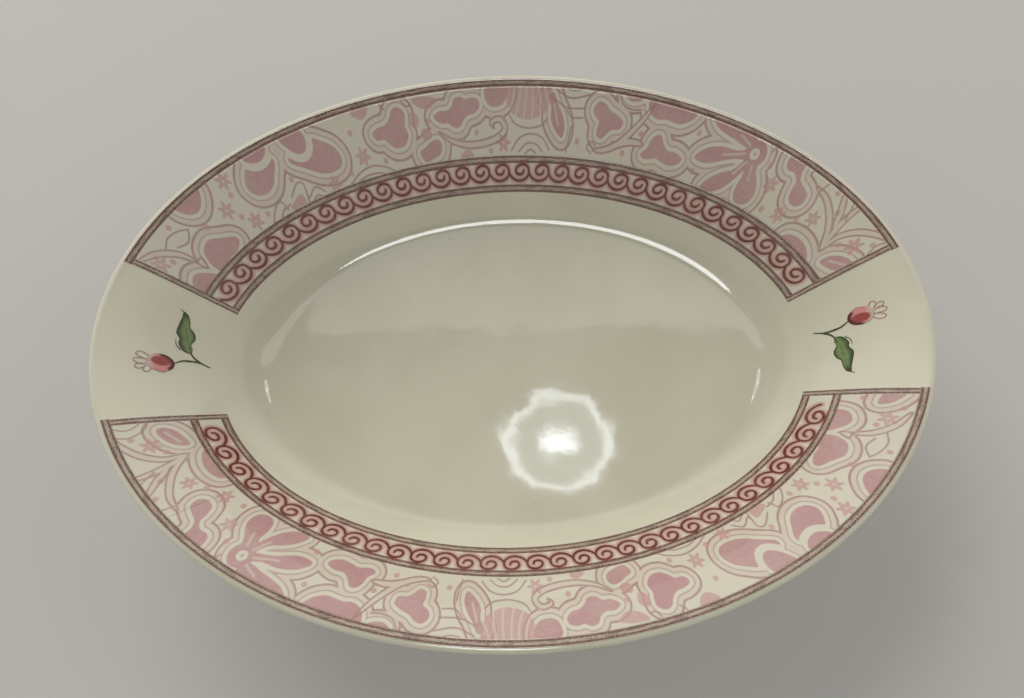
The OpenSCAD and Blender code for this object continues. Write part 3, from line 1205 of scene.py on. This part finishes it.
@dataclass(frozen=True)
class ScrollPrint(Finish):
    """Plum scrolls on a blush ground between two double lines, whose middles are distances from the rim."""

    name: str = "scroll_print"
    line_insets: tuple[float, float] = (20.75, 27.65)

    def colour(self, w: Wiring) -> bpy.types.NodeSocket:
        """A blush round each scroll, the scroll's line, and the two double lines."""
        scroll, inset, along = (w.held(key) for key in ("scroll", "inset", "along"))
        base = w.blend(w.step(scroll, 1.5, 0.4), self.palette.print_ground, self.palette.scroll_ground)
        mask = w.math("MULTIPLY", w.step(scroll, 0.47, 0.24), self.density(w))
        base = w.blend(mask, base, self.palette.scroll)
        for middle in self.line_insets:
            base = self.lines(w, w.math("SUBTRACT", inset, middle), along, base)
        return base


@dataclass(frozen=True)
class LinePrint(Finish):
    """One double line on cream, where the held number across it has a middle value."""

    name: str = "rim_line_print"
    across: str = "inset"
    middle: float = 2.62
    along: str = "along"

    def colour(self, w: Wiring) -> bpy.types.NodeSocket:
        """The double line over mottled cream."""
        across = w.math("SUBTRACT", w.held(self.across), self.middle)
        return self.lines(w, across, w.held(self.along), self.mottled(w, self.palette.print_ground))


@dataclass(frozen=True)
class LeafPrint(Finish):
    """Green leaf, light in the middle, with a dark edge, midrib and tip."""

    name: str = "leaf_print"

    def colour(self, w: Wiring) -> bpy.types.NodeSocket:
        """Cloudy greens, darkened in turn to one side, at the edge, on the midrib and at the tip."""
        green, dark = self.palette.leaf, self.palette.leaf_dark
        across, along = w.held("across"), w.held("along")
        edge = w.math("ABSOLUTE", across)
        base = w.blend(w.noise(w.place(), 500.0, 3.0), self.palette.leaf_light, green)
        base = w.blend(w.step(across, 0.1, 0.7), base, green)
        base = w.blend(w.math("MULTIPLY", w.step(edge, 0.42, 0.95), 0.9), base, dark)
        base = w.blend(w.math("MULTIPLY", w.step(edge, 0.20, 0.05), 0.35), base, dark)
        return w.blend(w.step(along, 0.72, 0.95), base, dark)


@dataclass(frozen=True)
class SpeckledLine(Finish):
    """A painted line that varies between two colours."""

    name: str = "stem_print"
    fineness: float = 700.0
    first: Colour = ink(40, 56, 22)
    second: Colour = ink(84, 88, 58)

    def colour(self, w: Wiring) -> bpy.types.NodeSocket:
        """The first colour, with clouds of the second."""
        return w.blend(w.step(w.noise(w.place(), self.fineness, 2.0), 0.3, 0.8), self.first, self.second)


@dataclass(frozen=True)
class BudPrint(Finish):
    """Salmon bud with a red heart and a dark crescent at its base.

    The bud's held numbers along and across it go from minus one to one.
    """

    name: str = "bud_print"
    heart_middle: tuple[float, float] = (0.0, -0.2)
    heart_radii: tuple[float, float] = (0.72, 0.52)

    def colour(self, w: Wiring) -> bpy.types.NodeSocket:
        """Salmon fading towards the crown, then the heart and the crescent."""
        x, y = w.held("along"), w.held("across")
        cloud = w.math("MULTIPLY", w.noise(w.place(), 600.0, 3.0), 0.25)
        fade = w.math("ADD", w.step(x, 0.2, 0.9), cloud)
        base = w.blend(fade, self.palette.bud, self.palette.pale_pink)
        heart = self.reach(w, *(
            w.math("DIVIDE", w.math("SUBTRACT", axis, middle), radius)
            for axis, middle, radius in zip((x, y), self.heart_middle, self.heart_radii)))
        base = w.blend(w.step(heart, 1.15, 0.8), base, self.palette.bud_heart)
        lower = w.step(w.math("ADD", x, w.math("MULTIPLY", y, 0.45)), -0.1, -0.45)
        crescent = w.math("MULTIPLY", w.step(self.reach(w, x, y), 0.55, 0.82), lower)
        return w.blend(crescent, base, self.palette.bud_dark)

    @staticmethod
    def reach(w: Wiring, x: object, y: object) -> bpy.types.NodeSocket:
        """Distance from the middle: the root of the sum of the squares."""
        squares = (w.math("MULTIPLY", part, part) for part in (x, y))
        return w.math("SQRT", w.math("ADD", *squares))


def dress(piece: bpy.types.Object, material: bpy.types.Material, slot: str, *nodes: str) -> None:
    """Gives a piece its material, its body and the CAD nodes that it stands for.

    Args:
        piece: the piece.
        material: its material.
        slot: the record's material slot; not used.
        nodes: the CAD nodes it replaces.
    """
    piece.data.materials.append(material)
    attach(piece, "root")
    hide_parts(*nodes)
    LOG.info("%s: %d faces, stands for %s", piece.name, len(piece.data.polygons), ", ".join(nodes))


# ---------------------------------------------------------------- sub-assemblies


@dataclass
class Ware:
    """The fired body and its two coats of glaze."""

    form: OvalForm
    clay: bpy.types.Material
    cream: bpy.types.Material
    glaze: float = 0.35
    segments: int = 288
    row_gap: float = 1.6
    pole_gap: float = 0.6
    rim_steps: int = 13
    foot_steps: int = 5

    def _surface(self) -> np.ndarray:
        """Profile of all the outer glaze: up the foot and the outside, over the rim and down the well."""
        form = self.form
        outer, _, _ = form.foot(self.foot_steps)
        outside = form.outside(self._insets(form.foot_inset - form.foot_bevel, form.lip_inset))
        well = form.well(self._insets(form.lip_inset, form.half_length - self.pole_gap))
        return np.concatenate([outer[:-1], outside[:-1], form.rim(self.rim_steps), well[1:]])

    def _underside(self) -> np.ndarray:
        """Profile of the glaze under the floor: up the foot's inner face and across to the middle."""
        form = self.form
        _, _, inner = form.foot(self.foot_steps)
        start = form.foot_inset + form.foot_width + form.foot_bevel
        flat = form.outside(self._insets(start, form.half_length - self.pole_gap))
        return np.concatenate([inner[:-1], flat])

    def _insets(self, start: float, end: float) -> np.ndarray:
        """Distances in from the rim, from start to end, about a row gap apart."""
        return np.linspace(start, end, max(3, round(abs(end - start) / self.row_gap) + 1))

    def build(self) -> None:
        """Builds and dresses the body, the glaze coat and the glaze under the floor."""
        surface, underside = self._surface(), self._underside()
        inner_skin, under_skin = moved(surface, -self.glaze), moved(underside, -self.glaze)
        _, rest, _ = self.form.foot(self.foot_steps)
        pieces = (
            ("porcelain_body", [under_skin[::-1], underside[:1], rest[1:-1], surface[:1], inner_skin],
             self.clay, "porcelain"),
            ("glaze_coat", [inner_skin[::-1], surface], self.cream, "cream_glaze"),
            ("underside_glaze", [underside[::-1], under_skin], self.cream, "cream_glaze"),
        )
        for name, profiles, material, slot in pieces:
            dress(ring_solid(name, np.concatenate(profiles), self.segments), material, slot, name)


class Side(Enum):
    """The bowl's two panels, each with its turn in degrees."""

    BACK = 0.0
    FRONT = 180.0


class Print(Enum):
    """What a sheet is printed with: the record's slot, and how far apart its grid's points are."""

    FLOWERS = ("pink_flower_print", 0.34)
    SCROLLS = ("scroll_print", 0.26)
    RIM_LINE = ("plum_line_print", 0.3)
    END_LINE = ("plum_line_print", 0.25)


@dataclass
class Panel:
    """One printed panel: two flower sheets, the scroll strip, the rim line and two end lines."""

    form: OvalForm
    finishes: dict[Print, bpy.types.Material]
    side: Side
    right_end: float
    left_end: float
    stretch: tuple[float, float] = (0.0, 0.0)
    thickness: float = 0.03
    rim_line_start: float = 1.44
    rim_line_end: float = 3.6
    field_end: float = 19.8
    scroll_end: float = 28.6
    end_line: float = 1.5
    seam: float = 21.0
    chords: int = 1440
    flowers: FlowerDrawing = field(default_factory=FlowerDrawing)
    scrolls: ScrollDrawing = field(default_factory=ScrollDrawing)

    def _profile(self, insets: np.ndarray) -> np.ndarray:
        """Profile rows at insets that may start on the rounded rim.

        On the rim the row is the point of its round that stands that far in; below the lip it is the well.

        Args:
            insets: distances in from the rim.

        Returns:
            The profile rows.
        """
        form = self.form
        rows = form.well(np.maximum(insets, form.lip_inset))
        on_rim = insets < form.lip_inset
        lean = np.arccos(np.clip(1 - insets[on_rim] / form.rim_radius, -1, 1))
        round_ = np.zeros((on_rim.sum(), 5))
        round_[:, 0] = form.half_length - form.rim_radius
        round_[:, 1] = form.half_width - form.rim_radius
        round_[:, 2] = form.height - form.rim_radius
        round_[:, 3], round_[:, 4] = np.cos(lean), np.sin(lean)
        rows[on_rim] = moved(round_, form.rim_radius)
        return rows

    def _arc_length(self, insets: np.ndarray, angles: np.ndarray) -> np.ndarray:
        """Distance along each oval from the panel's top middle, towards +X before the panel is turned.

        Lengths of short chords are added up from the panel's right end to its left.

        Args:
            insets: distances in from the rim.
            angles: angles, in radians, before the panel is turned.

        Returns:
            The distances, rows by angles.
        """
        fine = np.linspace(0, math.pi, self.chords + 1)
        length, width = self.form.half_axes(insets)
        x, y = length[:, None] * np.cos(fine), width[:, None] * np.sin(fine)
        chords = np.hypot(np.diff(x, axis=1), np.diff(y, axis=1))
        sums = np.concatenate([np.zeros((len(insets), 1)), np.cumsum(chords, axis=1)], axis=1)
        middle = sums[:, len(fine) // 2]
        return np.stack([m - np.interp(angles, fine, s) for m, s in zip(middle, sums)])

    def _lay(self, part: str, kind: Print, ends: tuple[float, float], insets: tuple[float, float]) -> None:
        """Builds and dresses one sheet.

        Args:
            part: name of the piece, after the panel's.
            kind: what it is printed with.
            ends: its first and last angle in degrees, before the panel is turned.
            insets: its first and last distance in from the rim.
        """
        slot, gap = kind.value
        reach = self.form.half_length * math.radians(ends[1] - ends[0]) * self.form.side_share
        angles = np.radians(np.linspace(*ends, max(4, round(reach / gap) + 1)))
        across = np.linspace(*insets, max(4, round((insets[1] - insets[0]) / gap) + 1))
        profile = self._profile(across)
        turned = angles + math.radians(self.side.value)
        under, over = ovals(profile, turned), ovals(moved(profile, self.thickness), turned)
        name = f"{self.side.name.lower()}_{part}"
        piece = sheet_solid(name, under, over, self._held(kind, under, angles, across))
        dress(piece, self.finishes[kind], slot, name)

    def _held(
        self, kind: Print, under: np.ndarray, angles: np.ndarray, across: np.ndarray
    ) -> dict[str, np.ndarray]:
        """What a print reads at each point: how far along and how far in, and its drawing's distances.

        Args:
            kind: what the sheet is printed with.
            under: its lower grid.
            angles: angles of the grid's columns, in radians, before the panel is turned.
            across: distances of the grid's rows in from the rim.

        Returns:
            The numbers by name.
        """
        along = self._arc_length(across, angles)
        inset = np.broadcast_to(across[:, None], along.shape)
        held = {"along": along, "inset": inset}
        if kind is Print.FLOWERS:
            spots = self._spots(under)
            for drawn in ("petal", "star", "line", "vein"):
                held[drawn] = getattr(self.flowers, drawn)(spots)
        elif kind is Print.SCROLLS:
            row = self._arc_length(np.array([self.scrolls.inset]), angles)[0] - self.scrolls.offset
            outward = self.scrolls.inset - inset
            held["scroll"] = self.scrolls.distance(
                np.broadcast_to(row, along.shape).reshape(-1), outward.reshape(-1))
        elif kind is Print.END_LINE:
            held["across"] = along - along.mean(axis=1, keepdims=True)
        return held

    def _spots(self, under: np.ndarray) -> np.ndarray:
        """Where the drawing is read for each grid point.

        The point is turned back with the panel, and moved round by a share of the panel's stretch.

        Args:
            under: the lower grid.

        Returns:
            Plan points in the drawing, in rows [x, y].
        """
        flat = under[..., :2].reshape(-1, 2) * (1 if self.side is Side.BACK else -1)
        turn = np.degrees(np.arctan2(flat[:, 1] / self.form.half_width, flat[:, 0] / self.form.half_length))
        share = np.clip((turn - self.right_end) / (self.left_end - self.right_end), 0, 1)
        shift = np.radians(self.stretch[0] * (1 - share) + self.stretch[1] * share)
        c, s = np.cos(shift), np.sin(shift)
        ratio = self.form.half_width / self.form.half_length
        x, y = flat[:, 0], flat[:, 1] / ratio
        return np.stack([x * c + y * s, (y * c - x * s) * ratio], 1)

    def build(self) -> None:
        """Builds and dresses the panel's six pieces."""
        right, left = self.right_end, self.left_end
        inner_right, inner_left, seam = right + self.end_line, left - self.end_line, right + self.seam
        flower_insets = (self.rim_line_end, self.field_end)
        self._lay("flower_sheet", Print.FLOWERS, (seam, inner_left), flower_insets)
        self._lay("flower_end_sheet", Print.FLOWERS, (inner_right, seam), flower_insets)
        self._lay("scroll_strip", Print.SCROLLS, (inner_right, inner_left), (self.field_end, self.scroll_end))
        self._lay("rim_line", Print.RIM_LINE, (right, left), (self.rim_line_start, self.rim_line_end))
        names = ("right", "left") if self.side is Side.BACK else ("left", "right")
        for key, span in zip(names, ((right, inner_right), (inner_left, left))):
            self._lay(f"{key}_end_line", Print.END_LINE, span, (self.rim_line_end, self.scroll_end))


@dataclass
class Sprig:
    """One hand-coloured rosebud: leaf, stem, bud and the crown's fine lines."""

    form: OvalForm
    finishes: dict[str, bpy.types.Material]
    name: str
    turn: int
    shift: float
    thickness: float = 0.1
    leaf_rows: int = 40
    leaf_columns: int = 9
    midrib: Line = ((103.1, 0.2), (103.9, -3.0), (104.3, -6.0), (104.3, -9.0), (104.5, -12.4))
    left_edge: Line = ((103.0, 0.1), (102.9, -1.5), (103.2, -2.8), (102.3, -4.6), (102.5, -6.6),
                        (103.4, -8.0), (103.4, -9.8), (103.7, -11.6), (104.4, -12.5))
    right_edge: Line = ((103.3, 0.3), (104.9, -0.3), (106.0, -2.4), (105.8, -4.0), (106.5, -5.8),
                         (105.9, -8.4), (105.2, -10.6), (104.9, -12.0), (104.6, -12.5))
    stems: tuple[tuple[Line, float, float], ...] = (
        (((98.7, 3.4), (100.0, 2.9), (101.0, 2.5), (102.6, 2.5), (104.0, 2.7)), 0.14, 0.32),
        (((103.6, 2.6), (105.0, 3.0), (106.2, 3.9), (106.8, 4.5)), 0.30, 0.08),
        (((100.9, 2.6), (102.3, 1.4), (103.1, 0.1), (103.6, -1.8)), 0.34, 0.08),
        (((104.4, -12.2), (104.9, -12.6), (105.4, -13.1)), 0.2, 0.06),
        (((105.4, -0.4), (106.4, -1.8), (106.6, -3.4)), 0.12, 0.06),
    )
    bud_middle: Spot = (109.4, 4.8)
    bud_axes: Spot = (2.95, 2.8)
    crown: tuple[Line, ...] = (
        ((111.2, 7.2), (111.8, 8.3), (112.6, 8.2), (112.8, 7.0), (112.2, 6.2)),
        ((112.4, 6.6), (113.4, 7.6), (114.5, 7.5), (114.4, 6.5), (113.2, 5.8)),
        ((112.4, 5.6), (113.6, 6.2), (115.1, 5.4), (114.6, 4.5), (112.8, 4.4)),
        ((112.2, 4.4), (113.4, 4.2), (114.6, 3.4), (114.4, 2.5), (113.2, 2.4), (111.9, 3.4)),
        ((110.2, 7.4), (108.6, 7.6), (107.6, 6.9)),
    )

    def _laid(self, grid: np.ndarray, lift: float) -> np.ndarray:
        """Turns and shifts a plan grid, and lays it on the wall.

        Args:
            grid: plan grid, rows by columns by two.
            lift: how far above the surface it lies.

        Returns:
            The grid in space.
        """
        flat = (grid.reshape(-1, 2) + [0.0, self.shift]) * self.turn
        return self.form.laid(flat, lift).reshape(*grid.shape[:2], 3)

    @staticmethod
    def _ribbon(points: Line, start: float, end: float, rows: int) -> np.ndarray:
        """Plan grid along a line, whose half width goes evenly from start to end.

        Args:
            points: points that the line passes through.
            start: half width at its start.
            end: half width at its end.
            rows: how many points across.

        Returns:
            The grid, along by across by two.
        """
        path = smooth_path(points, 6)
        step = np.gradient(path, axis=0)
        step /= np.linalg.norm(step, axis=1)[:, None]
        normal = np.stack([-step[:, 1], step[:, 0]], 1)
        half = np.linspace(start, end, len(path))[:, None, None]
        across = np.linspace(-1, 1, rows)[None, :, None]
        return path[:, None, :] + normal[:, None, :] * half * across

    def build(self) -> None:
        """Builds the leaf, the stems, the bud and its crown."""
        share = np.linspace(0, 1, self.leaf_rows)

        def line(points: Line) -> np.ndarray:
            """Even steps along a smooth line."""
            path = smooth_path(points, 8)
            return np.stack([np.interp(share, np.linspace(0, 1, len(path)), path[:, i]) for i in (0, 1)], 1)

        left, middle, right = line(self.left_edge), line(self.midrib), line(self.right_edge)
        across = np.linspace(0, 1, self.leaf_columns)[None, :, None]
        halves = [left[:, None] * (1 - across) + middle[:, None] * across,
                  middle[:, None] * (1 - across) + right[:, None] * across]
        leaf = np.concatenate([halves[0], halves[1][:, 1:]], axis=1)
        side = np.broadcast_to(np.linspace(-1, 1, leaf.shape[1]), leaf.shape[:2])
        held = {"across": side, "along": np.broadcast_to(share[:, None], side.shape)}
        self._part("leaf", "leaf", leaf, held, 0.0)
        for number, (points, start, end) in enumerate(self.stems, 1):
            self._part(f"stem_{number}", "stem", self._ribbon(points, start, end, 5), {}, 0.02)
        radius, angle = np.meshgrid(np.linspace(0.02, 1, 14), np.linspace(0, 2 * math.pi, 49), indexing="ij")
        x, y = radius * np.cos(angle), radius * np.sin(angle)
        bud = np.stack([middle + axis * part for middle, axis, part in
                        zip(self.bud_middle, self.bud_axes, (x, y))], 2)
        self._part("bud", "bud", bud, {"along": x, "across": y}, 0.02)
        for number, points in enumerate(self.crown, 1):
            self._part(f"crown_{number}", "crown", self._ribbon(points, 0.12, 0.09, 4), {}, 0.05)

    def _part(
        self, part: str, finish: str, grid: np.ndarray, held: dict[str, np.ndarray], lift: float
    ) -> None:
        """Builds and dresses one part from its plan grid.

        Args:
            part: its name after the sprig's.
            finish: which finish it takes.
            grid: the plan grid.
            held: numbers at each point.
            lift: how far above the glaze its lower face lies.
        """
        name = f"{self.name}_{part}"
        under, over = self._laid(grid, lift), self._laid(grid, lift + self.thickness)
        dress(sheet_solid(name, under, over, held), self.finishes[finish], "rosebud_print",
              f"{self.name}_sprig")


# ---------------------------------------------------------------- stage


class Shines(Enum):
    """Where a light shows: in the glaze's mirror, or on the surfaces that it lights."""

    MIRROR = (True, False)
    SURFACE = (False, True)


@dataclass(frozen=True)
class Lamp:
    """One area light: its lengths are in millimetres and its power in watts.

    A light that shows in the glaze hangs level over the bowl, and one that lights it faces it.
    """

    name: str
    place: tuple[float, float, float]
    size: tuple[float, float]
    power: float
    colour: Colour
    shape: str
    shines: Shines
    ringed: bool = False

    def hang(self) -> None:
        """Makes the light and puts it in the scene."""
        data = bpy.data.lights.new(self.name, "AREA")
        data.shape = self.shape
        data.size, data.size_y = (side * METRES for side in self.size)
        data.energy = self.power
        data.color = self.colour[:3]
        if self.ringed:
            self._ring(data)
        light = bpy.data.objects.new(self.name, data)
        light.visible_glossy, light.visible_diffuse = self.shines.value
        light.location = Vector(self.place) * METRES
        if self.shines is Shines.SURFACE:
            light.rotation_euler = Vector(self.place).to_track_quat("Z", "Y").to_euler()
        bpy.context.scene.collection.objects.link(light)

    @staticmethod
    def _ring(data: bpy.types.Light) -> None:
        """Makes a round lamp bright at its edge and in its middle, as a shade with a bulb in it is.

        Args:
            data: the light.
        """
        data.use_nodes = True
        w = Wiring(data.node_tree)
        split = w.add("ShaderNodeSeparateXYZ")
        w.feed(split.inputs[0], w.add("ShaderNodeNewGeometry").outputs["Parametric"])
        x, y = (w.math("SUBTRACT", split.outputs[axis], 0.5) for axis in (0, 1))
        radius = w.math("SQRT", w.math("ADD", w.math("MULTIPLY", x, x), w.math("MULTIPLY", y, y)))
        edge = w.math("MULTIPLY", w.step(radius, 0.40, 0.46), 1.1)
        core = w.math("MULTIPLY", w.step(radius, 0.21, 0.05), 1.9)
        strength = w.math("ADD", w.math("ADD", edge, core), 0.26)
        w.feed(data.node_tree.nodes["Emission"].inputs["Strength"], strength)


@dataclass(frozen=True)
class Studio:
    """Pale floor, soft lights and the camera. Angles are in degrees."""

    form: OvalForm
    lens: float = 26.97
    distance: float = 224.8
    elevation: float = 72.14
    azimuth: float = -7.09
    roll: float = 4.65
    aim: tuple[float, float] = (-2.588, -5.983)
    lamps: tuple[Lamp, ...] = (
        Lamp("lamp", (92.0, 428.0, 1230.0), (106.0, 88.0), 0.22, ink(240, 250, 255), "ELLIPSE",
             Shines.MIRROR, ringed=True),
        Lamp("strip", (-20.0, -170.0, 1290.0), (260.0, 520.0), 4.2, ink(250, 253, 255), "ELLIPSE",
             Shines.MIRROR),
        Lamp("ceiling", (100.0, 277.0, 1290.0), (460.0, 123.0), 0.26, ink(250, 253, 255), "RECTANGLE",
             Shines.MIRROR),
        Lamp("key", (-700.0, 1500.0, 1050.0), (1500.0, 1100.0), 18.6, ink(255, 252, 245), "RECTANGLE",
             Shines.SURFACE),
    )

    def camera(self) -> None:
        """Sets the camera up from its aim, distance, elevation, azimuth and roll."""
        azimuth, elevation, roll = (math.radians(v) for v in (self.azimuth, self.elevation, self.roll))
        back = Vector((math.sin(azimuth) * math.cos(elevation), -math.cos(azimuth) * math.cos(elevation),
                       math.sin(elevation)))
        right = (-back).cross(Vector((0, 0, 1))).normalized()
        up = right.cross(-back)
        turned_right = right * math.cos(roll) + up * math.sin(roll)
        turned_up = up * math.cos(roll) - right * math.sin(roll)
        place = (Vector((*self.aim, self.form.height)) + back * self.distance) * METRES
        data = bpy.data.cameras.new("studio_camera")
        data.lens = self.lens
        data.sensor_width = 36.0
        data.clip_start = 0.01
        data.clip_end = 20.0
        camera = bpy.data.objects.new("studio_camera", data)
        rows = Matrix((turned_right, turned_up, back)).transposed().to_4x4()
        camera.matrix_world = Matrix.Translation(place) @ rows
        bpy.context.scene.collection.objects.link(camera)
        bpy.context.scene.camera = camera

    def floor(self) -> None:
        """Pale floor, a large gently subdivided sheet."""
        span = np.linspace(-3000, 3000, 9)
        x, y = np.meshgrid(span, span, indexing="ij")
        points = np.stack([x, y, np.zeros_like(x)], 2)
        index = np.arange(x.size).reshape(x.shape)
        faces = np.stack([index[:-1, :-1], index[1:, :-1], index[1:, 1:], index[:-1, 1:]], 2)
        floor = new_piece("studio_floor", points.reshape(-1, 3), faces.reshape(-1, 4).tolist())
        material = bpy.data.materials.new("studio_floor")
        material.use_nodes = True
        wiring = Wiring(material.node_tree)
        shader = material.node_tree.nodes["Principled BSDF"]
        shader.inputs["Roughness"].default_value = Gloss.STAGE.value
        tone = wiring.blend(wiring.noise(wiring.place(), 9.0, 4.0), ink(206, 205, 202), ink(211, 210, 207))
        wiring.feed(shader.inputs["Base Color"], tone)
        floor.data.materials.append(material)

    def lights(self) -> None:
        """Hangs the lamps, and makes a surround that is dimmer overhead and brighter to the far right."""
        for lamp in self.lamps:
            lamp.hang()
        world = bpy.data.worlds.new("surround")
        world.use_nodes = True
        wiring = Wiring(world.node_tree)
        way = wiring.add("ShaderNodeTexCoord").outputs["Generated"]
        split = wiring.add("ShaderNodeSeparateXYZ")
        wiring.feed(split.inputs[0], way)
        across, along, upward = split.outputs
        side = wiring.math("ADD", wiring.math("MULTIPLY", across, 0.35), wiring.math("MULTIPLY", along, 0.6))
        around = wiring.blend(wiring.step(side, -1.0, 1.0), ink(204, 202, 198), ink(248, 246, 242))
        tone = wiring.blend(wiring.step(upward, 0.66, 0.76), around, ink(120, 119, 117))
        background = world.node_tree.nodes["Background"]
        wiring.feed(background.inputs["Color"], tone)
        background.inputs["Strength"].default_value = 1.03
        bpy.context.scene.world = world

    def build(self) -> None:
        """Sets up the camera, the floor and the lights."""
        self.camera()
        self.floor()
        self.lights()
        bpy.context.scene.view_settings.view_transform = "Standard"


def main() -> None:
    """Builds the bowl's sub-assemblies in order."""
    logging.basicConfig(level=logging.INFO)
    form = OvalForm.from_box(*CAD_BOX)
    LOG.info("rim at %.1f mm, %.0f by %.0f mm", form.height, 2 * form.half_length, 2 * form.half_width)
    Studio(form).build()
    shared = (Effects(), Palette())
    Ware(form, Bisque(*shared).material(), CreamGlaze(*shared).material()).build()
    end_line = LinePrint(*shared, name="end_line_print", across="across", middle=0.0, along="inset")
    panel_finishes = {
        Print.FLOWERS: FlowerPrint(*shared).material(),
        Print.SCROLLS: ScrollPrint(*shared).material(),
        Print.RIM_LINE: LinePrint(*shared).material(),
        Print.END_LINE: end_line.material(),
    }
    Panel(form, panel_finishes, Side.BACK, 15.0, 162.7, stretch=(-2.0, 2.0)).build()
    Panel(form, panel_finishes, Side.FRONT, 14.8, 165.2).build()
    crown = SpeckledLine(*shared, name="crown_print", fineness=900.0, first=ink(166, 130, 118),
                         second=ink(192, 154, 142))
    sprig_finishes = {
        "leaf": LeafPrint(*shared).material(),
        "stem": SpeckledLine(*shared).material(),
        "bud": BudPrint(*shared).material(),
        "crown": crown.material(),
    }
    Sprig(form, sprig_finishes, "right_rosebud", 1, 0.0).build()
    Sprig(form, sprig_finishes, "left_rosebud", -1, -2.6).build()


if __name__ == "__main__":
    main()
